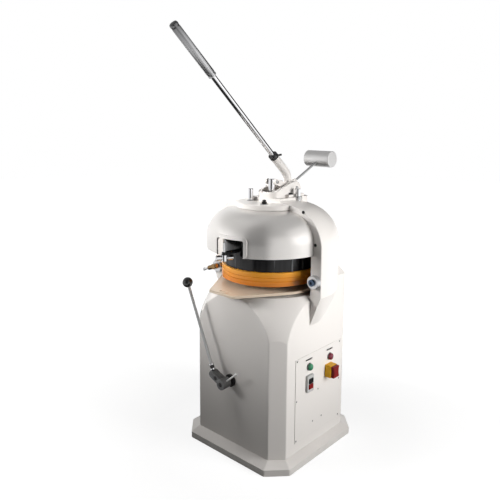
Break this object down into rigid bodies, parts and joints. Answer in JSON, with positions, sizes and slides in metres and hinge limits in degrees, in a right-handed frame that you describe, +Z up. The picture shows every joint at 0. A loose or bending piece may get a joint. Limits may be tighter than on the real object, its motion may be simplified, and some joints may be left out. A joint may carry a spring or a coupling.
{
  "type": "dough divider rounder",
  "caption": "Free-standing white semi-automatic dough divider rounder with a long press lever, domed head and an orbiting dough plate.",
  "frame": {"origin": "centre of the plinth's underside, on the floor", "axes": "+Z up, -Y towards the operator at the front, +X to the operator's right"},
  "size_m": [0.7415, 1.0468, 1.9628],
  "materials": {
    "white_enamel": "gloss",
    "cream_plate": "satin",
    "amber_ring": "gloss",
    "dark_drum": "polished",
    "chrome": "polished",
    "bright_steel": "brushed",
    "dark_casting": "matte",
    "bronze": "satin",
    "grip_metal": "brushed",
    "black_plastic": "gloss",
    "grey_plastic": "satin",
    "red_plastic": "gloss",
    "yellow_plastic": "gloss",
    "green_lens": "gloss",
    "red_lens": "gloss",
    "belt_rubber": "matte",
    "pad_plastic": "satin",
    "grey_paint": "satin"
  },
  "bodies": {
    "base": {"base_plinth": "white_enamel", "cabinet_shell": "white_enamel", "side_cover": "white_enamel", "cover_screws": "bright_steel", "rear_hood": "white_enamel", "right_corbel": "white_enamel", "left_corbel": "white_enamel", "rear_corbel": "white_enamel", "dome_cover": "white_enamel", "crown_plate": "white_enamel", "lever_bracket": "white_enamel", "bracket_bolts": "bright_steel", "pivot_pin": "bright_steel", "spindle_bush": "bronze", "side_bosses": "chrome", "boss_bolt": "dark_casting", "bed_plate": "grey_paint", "bearing_housing": "dark_casting", "drive_belt": "belt_rubber", "motor": "grey_paint", "motor_bracket": "grey_paint", "rounding_bush": "bright_steel", "green_lamp": "green_lens", "red_lamp": "red_lens", "starter_housing": "grey_plastic", "switch_plate": "yellow_plastic", "cable_gland": "black_plastic"},
    "press_lever": {"lever_casting": "white_enamel", "lever_rod": "chrome", "lever_grip": "grip_metal", "lever_collar": "black_plastic", "counter_rod": "chrome", "counterweight": "white_enamel"},
    "knife_head": {"press_spindle": "chrome", "spindle_pin": "bright_steel", "knife_set": "bright_steel"},
    "press_head": {"press_ring": "amber_ring", "press_drum": "dark_drum", "pad_carrier": "bright_steel", "press_pads": "pad_plastic", "guide_columns": "chrome", "adjuster_post": "chrome"},
    "weight_adjuster": {"adjuster_knob": "chrome"},
    "crank": {"crank_shaft": "bright_steel", "main_pulley": "dark_casting"},
    "table": {"orbit_table": "bright_steel", "locating_pins": "bright_steel"},
    "plate": {"dough_plate": "cream_plate"},
    "idler_left": {"left_idler": "bright_steel"},
    "idler_right": {"right_idler": "bright_steel"},
    "motor_rotor": {"motor_shaft": "bright_steel", "motor_pulley": "dark_casting"},
    "rounding_lever": {"rounding_shaft": "bright_steel", "rounding_hub": "dark_casting", "rounding_rod": "chrome", "rounding_ball": "black_plastic"},
    "button_start": {"start_button": "black_plastic"},
    "button_stop": {"stop_button": "red_plastic"},
    "main_switch": {"switch_knob": "red_plastic"},
    "clamp": {"clamp_handle": "bright_steel"}
  },
  "joints": [
    {"name": "press_lever_swing", "type": "hinge", "parent": "base", "child": "press_lever", "pos_m": [0, 0.11, 1.24859], "axis": [1, 0, 0], "range_deg": [0, 36]},
    {"name": "knife_drop", "type": "slide", "parent": "base", "child": "knife_head", "axis": [0, 0, -1], "range_m": [0, 0.07668]},
    {"name": "head_drop", "type": "slide", "parent": "base", "child": "press_head", "axis": [0, 0, -1], "range_m": [0, 0.023]},
    {"name": "adjuster_turn", "type": "hinge", "parent": "press_head", "child": "weight_adjuster", "pos_m": [-0.02107, -0.30926, 0.958], "axis": [0, 0, 1], "range_deg": [-170, 170]},
    {"name": "drive_spin", "type": "hinge", "parent": "base", "child": "crank", "pos_m": [0, 0.004, 0.646], "axis": [0, 0, 1], "continuous": true},
    {"name": "table_orbit", "type": "hinge", "parent": "crank", "child": "table", "pos_m": [0, -0.008, 0.766], "axis": [0, 0, 1], "continuous": true},
    {"name": "idler_left_spin", "type": "hinge", "parent": "base", "child": "idler_left", "pos_m": [-0.14, 0.004, 0.646], "axis": [0, 0, 1], "continuous": true},
    {"name": "idler_right_spin", "type": "hinge", "parent": "base", "child": "idler_right", "pos_m": [0.14, 0.004, 0.646], "axis": [0, 0, 1], "continuous": true},
    {"name": "motor_spin", "type": "hinge", "parent": "base", "child": "motor_rotor", "pos_m": [-0.12, 0.13, 0.496], "axis": [0, 0, 1], "continuous": true},
    {"name": "plate_withdraw", "type": "slide", "parent": "table", "child": "plate", "axis": [0, -1, 0], "range_m": [0, 0.12]},
    {"name": "rounding_lever_swing", "type": "hinge", "parent": "base", "child": "rounding_lever", "pos_m": [-0.007, -0.32, 0.363], "axis": [0, -1, 0], "range_deg": [0, 35]},
    {"name": "start_press", "type": "slide", "parent": "base", "child": "button_start", "axis": [-1, 0, 0], "range_m": [0, 0.004], "stiffness_N_per_m": 600},
    {"name": "stop_press", "type": "slide", "parent": "base", "child": "button_stop", "axis": [-1, 0, 0], "range_m": [0, 0.004], "stiffness_N_per_m": 600},
    {"name": "main_switch_turn", "type": "hinge", "parent": "base", "child": "main_switch", "pos_m": [0.3, 0.091, 0.384], "axis": [1, 0, 0], "range_deg": [0, 90]},
    {"name": "clamp_turn", "type": "hinge", "parent": "base", "child": "clamp", "pos_m": [-0.312, -0.097, 0.826], "axis": [0, -1, 0], "range_deg": [0, 60]}
  ],
  "couplings": [
    {"joint": "knife_drop", "follows": "press_lever_swing", "m_per_rad": 0.12204},
    {"joint": "head_drop", "follows": "press_lever_swing", "m_per_rad": 0.036606},
    {"joint": "table_orbit", "follows": "drive_spin", "ratio": -1},
    {"joint": "idler_left_spin", "follows": "drive_spin", "ratio": 1},
    {"joint": "idler_right_spin", "follows": "drive_spin", "ratio": 1},
    {"joint": "motor_spin", "follows": "drive_spin", "ratio": 2.9108}
  ]
}
